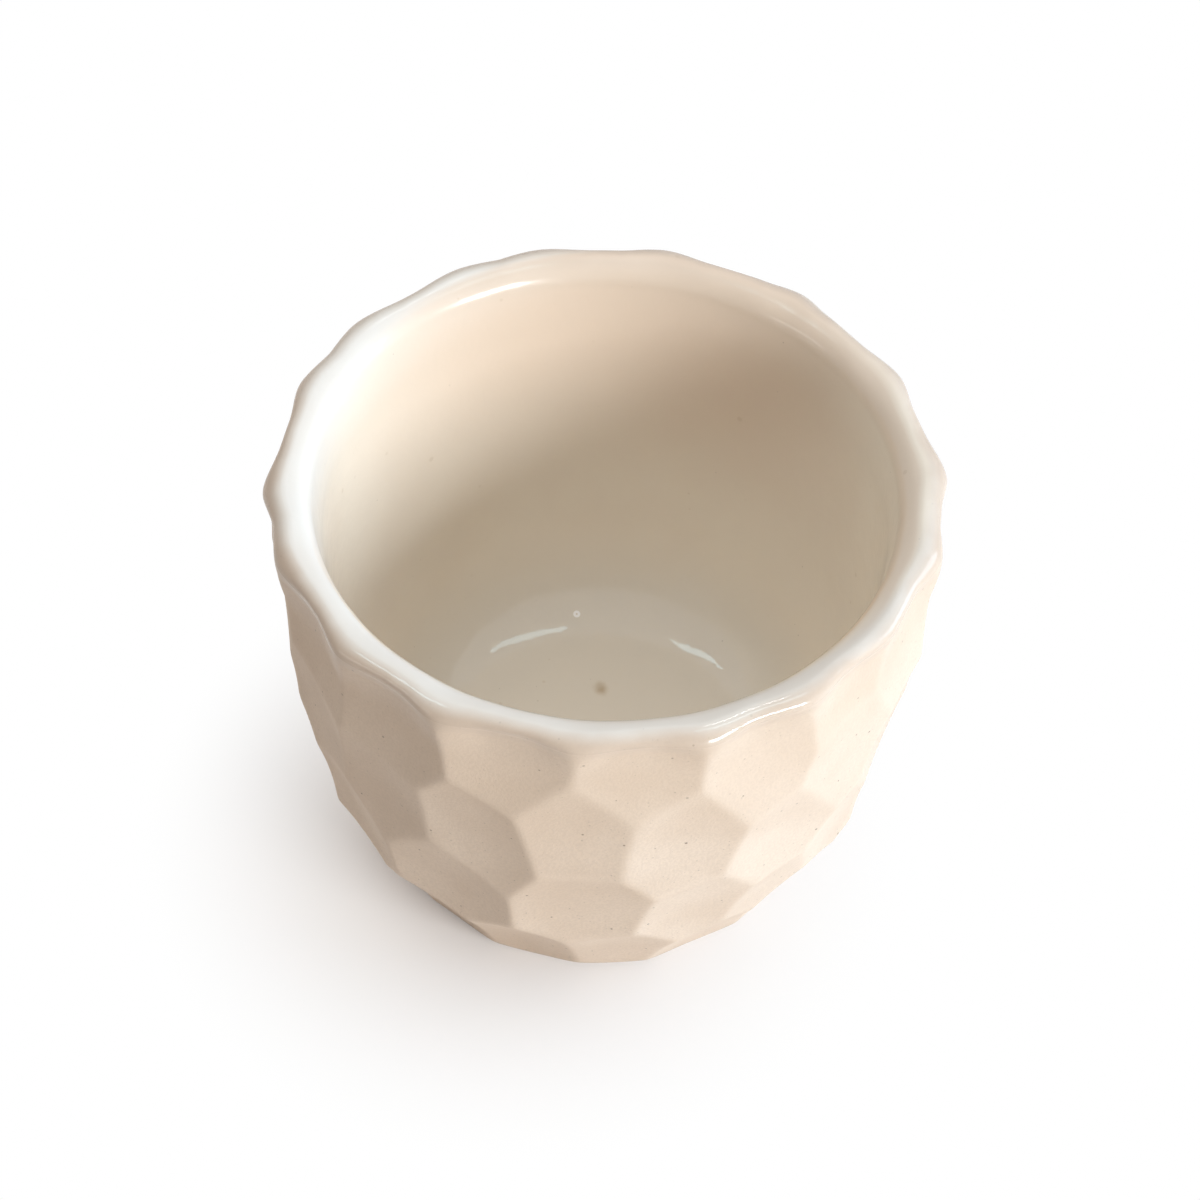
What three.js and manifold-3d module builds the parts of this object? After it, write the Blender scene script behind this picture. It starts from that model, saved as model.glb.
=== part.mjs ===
// A hand-thrown latte cup without a handle. The stoneware body is carved outside with rows of shallow
// scoops, and a glaze is fused to its inside and over its lip.
// Millimetres, +Z up. The cup stands on Z = 0 around the Z axis, and its photographed side faces -Y.

import * as THREE from 'three';
import { mergeVertices } from 'three/addons/utils/BufferGeometryUtils.js';
import Module from 'manifold-3d';

const wasm = await Module();
wasm.setup();

// Turned body, before carving
const HEIGHT = 70; // table to the top of the glazed lip
const FOOT_RADIUS = 32.3; // outside, at the table
const HIP_RADIUS = 44.3; // pulls the outside outwards above the foot
const HIP_HEIGHT = 14.5;
const BELLY_RADIUS = 46.8; // pulls the outside upright below the lip
const BELLY_HEIGHT = 45;
const LIP_DRAW_IN = 0.3; // from the belly in to where the lip starts to round over
const LIP_ROUND = 3; // height of the lip's rounding
const LIP_OUTER_WIDTH = 3.4; // crest of the lip to its outside
const LIP_INNER_WIDTH = 2.1; // crest of the lip to its inside
const FOOT_BEVEL = 0.8;
const FOOT_RING_WIDTH = 3.5; // flat ring that the cup stands on
const RECESS_DEPTH = 2; // hollow under the floor, inside the foot ring
const RECESS_SLOPE = 3; // width of the slope from the foot ring up to the hollow

// Inside
const FLOOR_THICKNESS = 8; // table to the inside floor
const FLOOR_INSET = 12.3; // foot to the flat middle of the floor
const BOWL_INSET = 8.3; // from the hip, pulls the floor outwards into the wall
const FLANK_INSET = 7.3; // from the belly, pulls the inside wall upright
const FLANK_RISE = 21; // above the floor

// Glaze
const GLAZE_THICKNESS = 0.4;
const BOND_GAP = 0.1; // between the clay and the glaze
const GLAZE_DROP = 3.2; // how far the glaze comes down outside, below the top of the clay lip

// Carving
const SCOOP_RADIUS = 75; // hollow of each scoop
const SCOOP_DEPTH = 2.2; // below the turned outside
const DRIFT_ANGLE = 1.5; // degrees by which the far side's scoops wander around the wall
const DRIFT_HEIGHT = 1; // by which they wander up and down
const DRIFT_TURN = 2.4; // radians from one wandering scoop to the next

const TOP_ROW_DROP = 7; // top of the clay lip to the middle of the first row
const BOTTOM_ROW_HEIGHT = 8.5; // table to the middle of the last row

// Rows of scoops from the lip down, evenly spaced. The scoops in seen are those in the photograph, each
// with its angle from +X in degrees and its lift above the row. The far side's share the rest of the turn.
const ROWS = [
  {
    count: 17,
    seen: [
      [-167, 0], [-148, 0], [-128, -2], [-104, 2], [-83.5, -1.5], [-61, -2.5], [-42, 3], [-27, 0.5],
      [-7, 0], [15, 0], [41, 0], [66, 0], [91, 0], [111, 0], [130, 0], [150, 0], [171, 0],
    ],
  },
  {
    count: 18,
    seen: [
      [-151, 0], [-130.5, -3], [-112, -2], [-92, 4.5], [-75, 1.5], [-53.5, -7], [-41, 5], [-23, -7],
    ],
  },
  {
    count: 17,
    seen: [[-145, 0], [-119, 0.5], [-91.5, 1], [-69.5, -3.5], [-51, -8], [-36, -1]],
  },
  {
    count: 17,
    seen: [[-127.5, 0], [-104.5, 0.5], [-84.5, 2], [-61.5, -1]],
  },
];

// Fineness of the meshes
const SEGMENTS = 60; // around the cup
const WALL_STEPS = 10;
const LIP_STEPS = 3; // each side of the crest
const SCOOP_SEGMENTS = 12;
const SCOOP_RINGS = 3;
const SEAT_HALVINGS = 40; // steps in the search for a height on the outside
const CUT_CLEARANCE = 4; // how far cutting bodies reach past what they cut

const clayHeight = HEIGHT - GLAZE_THICKNESS - BOND_GAP;
const lipStart = clayHeight - LIP_ROUND;
const glazeLine = clayHeight - GLAZE_DROP;
const lipRadius = BELLY_RADIUS - LIP_DRAW_IN;
const crestRadius = lipRadius - LIP_OUTER_WIDTH;
const mouthRadius = crestRadius - LIP_INNER_WIDTH;
const ringRadius = FOOT_RADIUS - FOOT_BEVEL; // outside of the flat foot ring

const outside = new THREE.CubicBezierCurve(
  new THREE.Vector2(FOOT_RADIUS, FOOT_BEVEL),
  new THREE.Vector2(HIP_RADIUS, HIP_HEIGHT),
  new THREE.Vector2(BELLY_RADIUS, BELLY_HEIGHT),
  new THREE.Vector2(lipRadius, lipStart),
);

const inside = new THREE.CubicBezierCurve(
  new THREE.Vector2(FOOT_RADIUS - FLOOR_INSET, FLOOR_THICKNESS),
  new THREE.Vector2(HIP_RADIUS - BOWL_INSET, FLOOR_THICKNESS),
  new THREE.Vector2(BELLY_RADIUS - FLANK_INSET, FLOOR_THICKNESS + FLANK_RISE),
  new THREE.Vector2(mouthRadius, lipStart),
);

// Points along a wall curve, moved off it by grow. Side is 1 for the outside and -1 for the inside.
function wallPoints(curve, side, grow) {
  const points = [];
  for (let i = 0; i <= WALL_STEPS; i += 1) {
    const point = curve.getPoint(i / WALL_STEPS);
    const along = curve.getTangent(i / WALL_STEPS);
    const normal = new THREE.Vector2(along.y, -along.x).multiplyScalar(side);
    points.push(point.addScaledVector(normal, grow));
  }
  return points;
}

// One side of the lip, from its crest down towards the wall, without the point that the wall shares.
function lipPoints(width, side, grow) {
  const points = [];
  for (let i = 0; i < LIP_STEPS; i += 1) {
    const angle = (i / LIP_STEPS) * (Math.PI / 2);
    const radius = crestRadius + side * (width + grow) * Math.sin(angle);
    points.push(new THREE.Vector2(radius, lipStart + (LIP_ROUND + grow) * Math.cos(angle)));
  }
  return points;
}

// Half of the cup's section, from the axis under the floor around to the axis above it.
function cupSection(grow) {
  const foot = [
    new THREE.Vector2(0, RECESS_DEPTH),
    new THREE.Vector2(ringRadius - FOOT_RING_WIDTH - RECESS_SLOPE, RECESS_DEPTH),
    new THREE.Vector2(ringRadius - FOOT_RING_WIDTH, 0),
    new THREE.Vector2(ringRadius, 0),
  ];
  const outerLip = lipPoints(LIP_OUTER_WIDTH, 1, grow).reverse();
  const innerLip = lipPoints(LIP_INNER_WIDTH, -1, grow).slice(1);
  return [
    ...foot,
    ...wallPoints(outside, 1, grow),
    ...outerLip,
    ...innerLip,
    ...wallPoints(inside, -1, grow).reverse(),
    new THREE.Vector2(0, FLOOR_THICKNESS + grow),
  ];
}

// A closed geometry as a solid, with its seams joined and its collapsed triangles left out.
function solidOf(geometry) {
  geometry.deleteAttribute('normal');
  geometry.deleteAttribute('uv');
  const merged = mergeVertices(geometry);
  const corners = merged.index.array;
  const triangles = [];
  for (let i = 0; i < corners.length; i += 3) {
    const [a, b, c] = corners.slice(i, i + 3);
    if (a !== b && b !== c && c !== a) triangles.push(a, b, c);
  }
  return new wasm.Manifold(new wasm.Mesh({
    numProp: 3,
    vertProperties: merged.attributes.position.array,
    triVerts: new Uint32Array(triangles),
  }));
}

function geometryOf(solid) {
  const mesh = solid.getMesh();
  const geometry = new THREE.BufferGeometry();
  geometry.setAttribute('position', new THREE.BufferAttribute(mesh.vertProperties, 3));
  geometry.setIndex(new THREE.BufferAttribute(mesh.triVerts, 1));
  geometry.computeVertexNormals();
  return geometry;
}

// A section turned around the Z axis.
function turn(section) {
  return solidOf(new THREE.LatheGeometry(section, SEGMENTS).rotateX(Math.PI / 2));
}

// Where a scoop meets the turned outside at a height, and which way it faces there.
function seatAt(height) {
  let low = 0;
  let high = 1;
  for (let i = 0; i < SEAT_HALVINGS; i += 1) {
    const middle = (low + high) / 2;
    if (outside.getPoint(middle).y < height) low = middle;
    else high = middle;
  }
  const along = outside.getTangent(low);
  return { point: outside.getPoint(low), facing: new THREE.Vector2(along.y, -along.x) };
}

// All scoops of a row as angle in radians and height: those seen, then those on the far side.
function scoopPlaces({ count, seen }, row) {
  const topRow = clayHeight - TOP_ROW_DROP;
  const height = THREE.MathUtils.lerp(topRow, BOTTOM_ROW_HEIGHT, row / (ROWS.length - 1));
  const places = seen.map(([angle, lift]) => [angle, height + lift]);
  const hidden = count - seen.length;
  const start = seen.at(-1)[0];
  const step = (360 + seen[0][0] - start) / (hidden + 1);
  for (let i = 1; i <= hidden; i += 1) {
    const angle = start + step * i + DRIFT_ANGLE * Math.cos(DRIFT_TURN * i);
    places.push([angle, height + DRIFT_HEIGHT * Math.sin(DRIFT_TURN * i)]);
  }
  return places.map(([angle, z]) => [THREE.MathUtils.degToRad(angle), z]);
}

// The body that one scoop cuts away, along +Y, with the turned outside at Y = 0.
function scoopSection(grow) {
  const centre = SCOOP_RADIUS - SCOOP_DEPTH;
  const radius = SCOOP_RADIUS - grow;
  const spread = Math.acos((centre - grow) / radius);
  const points = [];
  for (let i = 0; i <= SCOOP_RINGS; i += 1) {
    const angle = (spread * i) / SCOOP_RINGS;
    points.push(new THREE.Vector2(radius * Math.sin(angle), centre - radius * Math.cos(angle)));
  }
  points.push(new THREE.Vector2(points.at(-1).x, CUT_CLEARANCE));
  points.push(new THREE.Vector2(0, CUT_CLEARANCE));
  return points;
}

function scoops(grow) {
  const section = scoopSection(grow);
  const cutters = [];
  for (const [angle, height] of ROWS.flatMap(scoopPlaces)) {
    const { point, facing } = seatAt(height);
    const outward = new THREE.Vector3(
      facing.x * Math.cos(angle),
      facing.x * Math.sin(angle),
      facing.y,
    );
    const cutter = new THREE.LatheGeometry(section, SCOOP_SEGMENTS);
    const aim = new THREE.Quaternion().setFromUnitVectors(new THREE.Vector3(0, 1, 0), outward);
    cutter.applyQuaternion(aim);
    cutter.translate(point.x * Math.cos(angle), point.x * Math.sin(angle), point.y);
    cutters.push(solidOf(cutter));
  }
  return wasm.Manifold.union(cutters);
}

// The carved cup, grown by a coat of the given thickness.
function carvedCup(grow) {
  return turn(cupSection(grow)).subtract(scoops(grow));
}

// Everything outside the middle of the clay, up to the glaze's lower edge.
function bareSide() {
  const outer = wallPoints(outside, 1, 0);
  const inner = wallPoints(inside, -1, 0);
  const middle = outer.map((point, i) => point.clone().add(inner[i]).divideScalar(2));
  const bare = middle.filter((point) => point.y < glazeLine).reverse();
  const reach = BELLY_RADIUS + CUT_CLEARANCE;
  return turn([
    new THREE.Vector2(0, -CUT_CLEARANCE),
    new THREE.Vector2(reach, -CUT_CLEARANCE),
    new THREE.Vector2(reach, glazeLine),
    new THREE.Vector2(bare[0].x, glazeLine),
    ...bare,
    new THREE.Vector2(0, bare.at(-1).y),
  ]);
}

function pieceOf(name, solid, material) {
  const piece = new THREE.Mesh(geometryOf(solid), material);
  piece.name = name;
  return piece;
}

const stoneware = new THREE.MeshStandardMaterial({ color: 0xdcc5ae, roughness: 0.85, metalness: 0 });
const glaze = new THREE.MeshStandardMaterial({ color: 0xf1e9da, roughness: 0.12, metalness: 0 });

const coat = carvedCup(BOND_GAP + GLAZE_THICKNESS).subtract(carvedCup(BOND_GAP)).subtract(bareSide());

const cup = new THREE.Group();
cup.add(pieceOf('clay_body', carvedCup(0), stoneware));
cup.add(pieceOf('liner_glaze', coat, glaze));

export default cup;
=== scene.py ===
# A hand-thrown latte cup: a stoneware body carved outside with rows of scoops, and a cream glaze inside
# and over the lip. Metres, +Z up, standing on Z = 0. The photographed side faces -Y.

import math

import bpy
from mathutils import Euler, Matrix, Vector


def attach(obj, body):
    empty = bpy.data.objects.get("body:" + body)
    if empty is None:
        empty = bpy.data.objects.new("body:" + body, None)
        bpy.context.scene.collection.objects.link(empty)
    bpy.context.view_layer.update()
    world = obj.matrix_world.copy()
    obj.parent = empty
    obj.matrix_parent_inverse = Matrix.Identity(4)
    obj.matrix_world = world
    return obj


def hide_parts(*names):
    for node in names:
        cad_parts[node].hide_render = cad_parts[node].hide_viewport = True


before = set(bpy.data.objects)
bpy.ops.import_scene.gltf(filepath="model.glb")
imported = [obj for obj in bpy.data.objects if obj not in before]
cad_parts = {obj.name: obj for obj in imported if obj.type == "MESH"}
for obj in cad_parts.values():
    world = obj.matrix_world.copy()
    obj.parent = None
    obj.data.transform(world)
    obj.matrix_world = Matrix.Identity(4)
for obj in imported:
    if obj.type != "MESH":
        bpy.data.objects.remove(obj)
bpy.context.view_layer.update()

MM = 0.001

# Turned body, before carving
HEIGHT = 70 * MM
FOOT_RADIUS = 32.3 * MM
HIP_RADIUS = 44.3 * MM
HIP_HEIGHT = 14.5 * MM
BELLY_RADIUS = 46.8 * MM
BELLY_HEIGHT = 45 * MM
LIP_DRAW_IN = 0.05 * MM
LIP_ROUND = 3.5 * MM
LIP_OUTER_WIDTH = 3.1 * MM
LIP_LAND = 0.4 * MM
LIP_LAND_SOFTNESS = 0.35 * MM
LIP_BEVEL_WIDTH = 2.5 * MM
LIP_BEVEL_DROP = 0.65 * MM
LIP_EDGE_SOFTNESS = 2.3 * MM
LIP_FLARE_WIDTH = 1.2 * MM
LIP_FLARE_HEIGHT = 6 * MM
LIP_FLARE_SOFTNESS = 2.5 * MM
LIP_FLARE_FOOT = 3 * MM
FOOT_BEVEL = 0.8 * MM
FOOT_RING_WIDTH = 3.5 * MM
FOOT_SOFTNESS = 0.35 * MM
RECESS_DEPTH = 2 * MM
RECESS_SLOPE = 3 * MM

# Inside
FLOOR_THICKNESS = 8 * MM
FLOOR_INSET = 12.3 * MM
BOWL_INSET = 8.3 * MM
FLANK_RISE = 21 * MM
FLANK_SLOPE = 0.06

# Coat of glaze. Its lower edge outside sinks a little into the clay.
GLAZE_THICKNESS = 0.4 * MM
BOND_GAP = 0.1 * MM
GLAZE_DROP = 3.7 * MM
GLAZE_EDGE = -0.03 * MM

# Carving
SCOOP_RADIUS = 75 * MM
SCOOP_DEPTH = 2.2 * MM
DRIFT_ANGLE = 1.5
DRIFT_HEIGHT = 1 * MM
DRIFT_TURN = 2.4
TOP_ROW_DROP = 7 * MM
BOTTOM_ROW_HEIGHT = 8.5 * MM

# Sizes that the carving takes, and the shares of the lip's flute that ridges swell and hollows sink by
CARVING_SIZES = {
    "Scoop radius": SCOOP_RADIUS,
    "Ridge softness": 0.6 * MM,
    "Lip softness": 1.8 * MM,
    "Lip height": HEIGHT,
    "Lip reach": 6 * MM,
    "Ridge band": 0.7 * MM,
    "Lip flute": 0.55 * MM,
    "Flute reach": 9 * MM,
    "Flute band": 5 * MM,
    "Unevenness": 0.12 * MM,
}
RIDGE_SWELL = 0.72
HOLLOW_SINK = -0.36

# Hand-made unevenness of the outside, which fades out under the surface
SWAY_SCALE = 2.5
SWAY_DETAIL = 2.0
SWAY_GAIN = 4.0
SWAY_START = -4 * MM
SWAY_FULL = -1 * MM

# Rows of scoops from the lip down: how many, then the angle from +X in degrees and the lift above the row
# in millimetres of each one that is listed. The rest share the far side.
ROWS = [
    (17, [
        (-167.5, -5), (-148, 0), (-128, -2), (-104, 2), (-83.5, -1.5), (-61, -2.5), (-42, 3), (-27, 0.5),
        (-5, -5), (18, 1.3), (39.2, 5), (69, 3), (92, 6.5), (111.5, -4.4), (130.5, 1.3), (150, -3.4),
        (170.5, 6),
    ]),
    (18, [(-151, 0), (-130.5, -3), (-112, -2), (-92, 4.5), (-75, 1.5), (-53.5, -7), (-41, 5), (-23, -7)]),
    (17, [(-145, 0), (-119, 0.5), (-91.5, 1), (-69.5, -3.5), (-51, -8), (-36, -1)]),
    (17, [(-127.5, 0), (-104.5, 0.5), (-84.5, 2), (-61.5, -1)]),
]

# Fineness of the meshes
AROUND = 560
WALL_RINGS = 114
FOOT_RINGS = 3
LIP_RINGS = 14
FLOOR_RINGS = 14
LINER_RINGS = 88
CORNER_STEPS = 5
LIP_STEPS = 7
HIDDEN_RINGS = 10
HIDDEN_LIP_RINGS = 5
HIDDEN_FLOOR_RINGS = 2
HIDDEN_STEPS = 2
SEAT_HALVINGS = 40

# Colours of the clay
CLAY_WARM = (0.655, 0.515, 0.39, 1)
CLAY_PALE = (0.72, 0.583, 0.455, 1)
CLAY_DEEP = (0.56, 0.445, 0.35, 1)
LIP_BAND_TONE = (0.61, 0.46, 0.33, 1)
IRON = (0.12, 0.075, 0.05, 1)

# Colours of the glaze
CREAM = (0.87, 0.79, 0.67, 1)
MILK = (0.805, 0.758, 0.685, 1)
POOLED_AND_SHADED = (0.76, 0.712, 0.627, 1)
BLUSH = (0.755, 0.578, 0.438, 1)
STAIN = (0.38, 0.24, 0.09, 1)
TAN = (0.80, 0.60, 0.38, 1)
WHITE = (1, 1, 1, 1)
BLACK = (0, 0, 0, 1)

# Specks, and drifts of tone
FINE_SPECKS = {"Spacing": 0.9 * MM, "Size": 0.17 * MM, "Share": 0.8}
COARSE_SPECKS = {"Spacing": 1.9 * MM, "Size": 0.28 * MM, "Share": 0.45}
FLECKS = {"Spacing": 5.5 * MM, "Size": 0.6 * MM, "Share": 0.7}
PINHOLES = {"Spacing": 2.6 * MM, "Size": 0.16 * MM, "Share": 0.5}
CLAY_TONE = {"Broad": 16 * MM, "Fine": 0.4 * MM}
GLAZE_TONE = {"Broad": 14 * MM, "Fine": 2.5 * MM}
SPECK_SIZE_SPREAD = 0.7
SPECK_CORE = 0.45
TONE_LOW = 0.3
TONE_HIGH = 0.7
TONE_DETAIL = 3.0
GRAIN_DETAIL = 2.0

# Finish of the clay, darker towards the lip and less matt just under it
GRAIN_SHARE = 0.35
FINE_SPECK_SHARE = 0.32
COARSE_SPECK_SHARE = 0.75
LIP_BAND_SHARE = 0.4
LIP_BAND_START = 24 * MM
LIP_BAND_FULL = 4 * MM
RIDGE_SHARE = 0.25
CLAY_MATT = 0.62
CLAY_SHEEN = 0.42
SHEEN_REACH = 5 * MM
GRAIN_MATT = 0.08
PIT_DEPTH = -0.6
CLAY_BUMP = 0.25
CLAY_BUMP_DEPTH = 0.05 * MM

# Blush of the glaze, high at the back
BLUSH_SHARE = 0.75
BLUSH_BACK = 8 * MM
BLUSH_LOW = 25 * MM
BLUSH_HIGH = 60 * MM

# Milk over the lip, measured in from the crest, and its streaks around the rim. Its lean widens it on the lit
# left and narrows it on the shaded right, which is partly painted light and shade.
GLAZE_AND_LIGHT_LEAN = (-0.066, -0.07, 0)
MILK_START = 3.4 * MM
MILK_FULL = 1 * MM
STREAK_TURN = (2, 2, 0)
STREAK_WIDTH = 0.5 * MM
STREAK_SWAY = 1.6 * MM
STREAK_DETAIL = 2.0

# Clay-toned break over the inner edge of the lip, which on the shaded right is partly painted shade: down from
# the top, out from the crest, and by the lean
BREAK_SHADE_SHARE = 0.6
BREAK_SHADE_LOW = 4 * MM
BREAK_SHADE_LOW_FULL = 1.5 * MM
BREAK_SHADE_TOP_FULL = 0.35 * MM
BREAK_SHADE_OUTER = 1.1 * MM
BREAK_SHADE_OUTER_FULL = -0.4 * MM
BREAK_SHADE_FRONT = 0.5 * MM
BREAK_SHADE_BACK = -1.5 * MM

# Fine tan line under the inner edge at the front: down from the top, and towards the front
LINE_SHARE = 0.5
LINE_TOP = 0.95 * MM
LINE_TOP_FULL = 1.3 * MM
LINE_LOW = 4 * MM
LINE_LOW_FULL = 2 * MM
LINE_START = -8 * MM
LINE_FRONT = -28 * MM

# Body of the glaze and its marks, and a white ring painted as the highlight on a small bubble
GLAZE_DRIFT_SHARE = 0.12
# Towards the cup's floor the glaze turns greyer as pooled glaze, and darker as painted shade.
POOL_AND_SHADE_HEIGHT = 14 * MM
FLECK_SHARE = 0.14
PINHOLE_SHARE = 0.3
STAIN_PLACE = (0.2 * MM, 12.3 * MM, FLOOR_THICKNESS)
STAIN_SHARE = 0.72
STAIN_RADIUS = 2.1 * MM
STAIN_CORE = 0.3 * MM
STAIN_RAGGED = 0.5 * MM
BEAD_GLINT_PLACE = (-3.9 * MM, 25.9 * MM, 9.8 * MM)
BEAD_GLINT_RADIUS = 0.65 * MM
BEAD_GLINT_RIM = 0.45 * MM
BEAD_GLINT_HOLE = 0.1 * MM
BEAD_GLINT_HOLE_RIM = 0.25 * MM

# Thin end of the glaze, by its lap over the lip
THIN_START = -0.06
THIN_FULL = 0.44
THIN_DRIFT = 0.16
SOAKED_SHARE = 0.5
SOAKED_FULL = 0.3

# Gloss of the glaze, dulled at its thin end and hazed high inside, most at the back
GLOSS = 0.02
EDGE_MATT = 0.42
MATT_START = 0.2
MATT_FULL = 0.8
HAZE_LOW = 46 * MM
HAZE_HIGH = 58 * MM
HAZE_LAP = 0.3
HAZE_REACH = 2.4 * MM
INNER_HAZE = 0.12
SIDE_HAZE = 0.04
BACK_HAZE = 0.17
DRIFT_MATT = 0.015
GLAZE_BUMP = 0.06
GLAZE_BUMP_DEPTH = 0.2 * MM

# Table top and its shadow
FLOOR_SIZE = 6.0
FLOOR_TONE = (0.835, 0.77, 0.72, 1)
FLOOR_MATT = 0.9
SHADOW_MIDDLE = (-11 * MM, -9 * MM, 0)
SHADOW_NEAR = 4 * MM
SHADOW_FAR = 58 * MM

# Light
SKY = (1, 0.965, 0.925, 1)
SKY_STRENGTH = 0.2
LAMP_DISTANCE = 1.2
GLINT_DISTANCE = 1
STRIP_HEIGHT = 1
KEY_SIZE = (0.47, 0.38)
DAYLIGHT = (0.885, 0.945, 1)
PALE_BLUE = (0.66, 0.8, 1)
DEEP_BLUE = (0.3, 0.6, 1)
WARM_WHITE = (1, 0.97, 0.93)
STRIP_BLUE = (0.6, 0.9, 1)

# Camera, as the photograph was taken
CAMERA_PLACE = Vector((0, -303.42, 405.68)) * MM
CAMERA_AIM = Vector((-0.35, 0, 44.22)) * MM
CAMERA_ROLL = 1.81
CAMERA_LENS = 100.2
CAMERA_SENSOR = 36
CAMERA_NEAR = 0.01

# Farther out than any wall, and the share of a vector that lies level
FAR = 1.0
LEVEL = (1, 1, 0)

clay_height = HEIGHT - GLAZE_THICKNESS - BOND_GAP
lip_start = clay_height - LIP_ROUND
glaze_line = clay_height - GLAZE_DROP
lip_radius = BELLY_RADIUS - LIP_DRAW_IN
crest_radius = lip_radius - LIP_OUTER_WIDTH
mouth_radius = crest_radius - LIP_LAND - LIP_BEVEL_WIDTH - LIP_FLARE_WIDTH
mouth_height = clay_height - LIP_BEVEL_DROP - LIP_FLARE_HEIGHT
wall_top = mouth_height - LIP_FLARE_FOOT
flank_height = FLOOR_THICKNESS + FLANK_RISE
wall_top_radius = mouth_radius - LIP_FLARE_FOOT * FLANK_SLOPE
flank_radius = wall_top_radius - (wall_top - flank_height) * FLANK_SLOPE
ring_radius = FOOT_RADIUS - FOOT_BEVEL

# The wall curves as the corner points of a cubic, from the foot or the floor up to the lip
OUTSIDE = [
    Vector((FOOT_RADIUS, FOOT_BEVEL)),
    Vector((HIP_RADIUS, HIP_HEIGHT)),
    Vector((BELLY_RADIUS, BELLY_HEIGHT)),
    Vector((lip_radius, lip_start)),
]
INSIDE = [
    Vector((FOOT_RADIUS - FLOOR_INSET, FLOOR_THICKNESS)),
    Vector((HIP_RADIUS - BOWL_INSET, FLOOR_THICKNESS)),
    Vector((flank_radius, flank_height)),
    Vector((wall_top_radius, wall_top)),
]


def add_object(name, data):
    """A new object in the scene, at the origin."""
    added = bpy.data.objects.new(name, data)
    bpy.context.scene.collection.objects.link(added)
    return added


# Sections of the turned cup

def curve_point(curve, t):
    a, b, c, d = curve
    s = 1 - t
    return a * s**3 + b * (3 * s * s * t) + c * (3 * s * t * t) + d * t**3


def curve_normal(curve, t):
    """Away from the axis for a curve that climbs."""
    a, b, c, d = curve
    s = 1 - t
    along = (b - a) * (s * s) + (c - b) * (2 * s * t) + (d - c) * (t * t)
    return Vector((along.y, -along.x)).normalized()


def wall_points(curve, side, coat, rings):
    """Points up a wall, moved off the clay by a coat. Side is 1 for the outside and -1 for the inside."""
    points = []
    for i in range(rings + 1):
        t = i / rings
        points.append(curve_point(curve, t) + curve_normal(curve, t) * (side * coat))
    return points


def outer_lip(coats):
    """The lip's outside, from its crest towards the wall, without the point that the wall shares."""
    points = []
    for i, coat in enumerate(coats):
        angle = i / len(coats) * math.pi / 2
        radius = crest_radius + (LIP_OUTER_WIDTH + coat) * math.sin(angle)
        points.append(Vector((radius, lip_start + (LIP_ROUND + coat) * math.cos(angle))))
    return points


def raised(points, coat):
    """A line of points moved off by a coat to its right-hand side."""
    sides = []
    for here, there in zip(points, points[1:]):
        along = (there - here).normalized()
        sides.append(Vector((along.y, -along.x)))
    moved = [points[0] + sides[0] * coat]
    for point, before, after in zip(points[1:], sides, sides[1:]):
        moved.append(point + (before + after) * (coat / (1 + before.dot(after))))
    return moved + [points[-1] + sides[-1] * coat]


def softened(points, reaches, steps):
    """A line of points with each corner between its ends rounded over its own reach."""
    line = [points[0]]
    for before, corner, after, reach in zip(points, points[1:], points[2:], reaches):
        start = corner + (before - corner).normalized() * reach
        end = corner + (after - corner).normalized() * reach
        for i in range(steps + 1):
            t = i / steps
            line.append(start * (1 - t) ** 2 + corner * (2 * t * (1 - t)) + end * t**2)
    line.append(points[-1])
    return line


def inner_lip(coat, steps):
    """The lip's inside, from its crest over a bevel and an edge to the wall, without the wall's own point."""
    land = Vector((crest_radius - LIP_LAND, clay_height))
    edge = land - Vector((LIP_BEVEL_WIDTH, LIP_BEVEL_DROP))
    line = [
        Vector((crest_radius, clay_height)),
        land,
        edge,
        Vector((mouth_radius, mouth_height)),
        Vector((wall_top_radius, wall_top)),
    ]
    reaches = [LIP_LAND_SOFTNESS, LIP_EDGE_SOFTNESS, LIP_FLARE_SOFTNESS]
    return softened(raised(line, coat), reaches, steps)[:-1]


def thinned(coat, rings):
    """Coats that thin out from the crest of the lip to the glaze's edge on the outside."""
    shares = [math.cos(i / rings * math.pi / 2) ** 2 for i in range(rings)]
    return [GLAZE_EDGE + (coat - GLAZE_EDGE) * share for share in shares]


def clay_section():
    """From the axis under the floor, around the foot, wall and lip, to the axis above the floor."""
    corners = [
        Vector((0, RECESS_DEPTH)),
        Vector((ring_radius - FOOT_RING_WIDTH - RECESS_SLOPE, RECESS_DEPTH)),
        Vector((ring_radius - FOOT_RING_WIDTH, 0)),
        Vector((ring_radius, 0)),
        Vector((FOOT_RADIUS, FOOT_BEVEL)),
        curve_point(OUTSIDE, FOOT_RINGS / WALL_RINGS),
    ]
    foot = softened(corners, [FOOT_SOFTNESS] * (len(corners) - 2), CORNER_STEPS)
    wall = wall_points(OUTSIDE, 1, 0, WALL_RINGS)[FOOT_RINGS + 1:]
    outside = outer_lip([0] * LIP_RINGS)[::-1]
    inside = inner_lip(0, HIDDEN_STEPS)[1:]
    liner = wall_points(INSIDE, -1, 0, HIDDEN_RINGS)[::-1]
    return foot + wall + outside + inside + liner + [Vector((0, FLOOR_THICKNESS))]


def liner_side(coat, steps, wall_rings, floor_rings):
    """One face of the glaze, from the axis on the floor up the inside to the crest of the lip."""
    wall = wall_points(INSIDE, -1, coat, wall_rings)
    floor = [Vector((wall[0].x * i / floor_rings, wall[0].y)) for i in range(floor_rings)]
    return floor + wall + inner_lip(coat, steps)[::-1]


def seat_at(height):
    """Where along its curve the turned outside reaches a height, and which way it faces there."""
    low, high = 0.0, 1.0
    for _ in range(SEAT_HALVINGS):
        middle = (low + high) / 2
        if curve_point(OUTSIDE, middle).y < height:
            low = middle
        else:
            high = middle
    return low, curve_normal(OUTSIDE, low)


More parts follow.
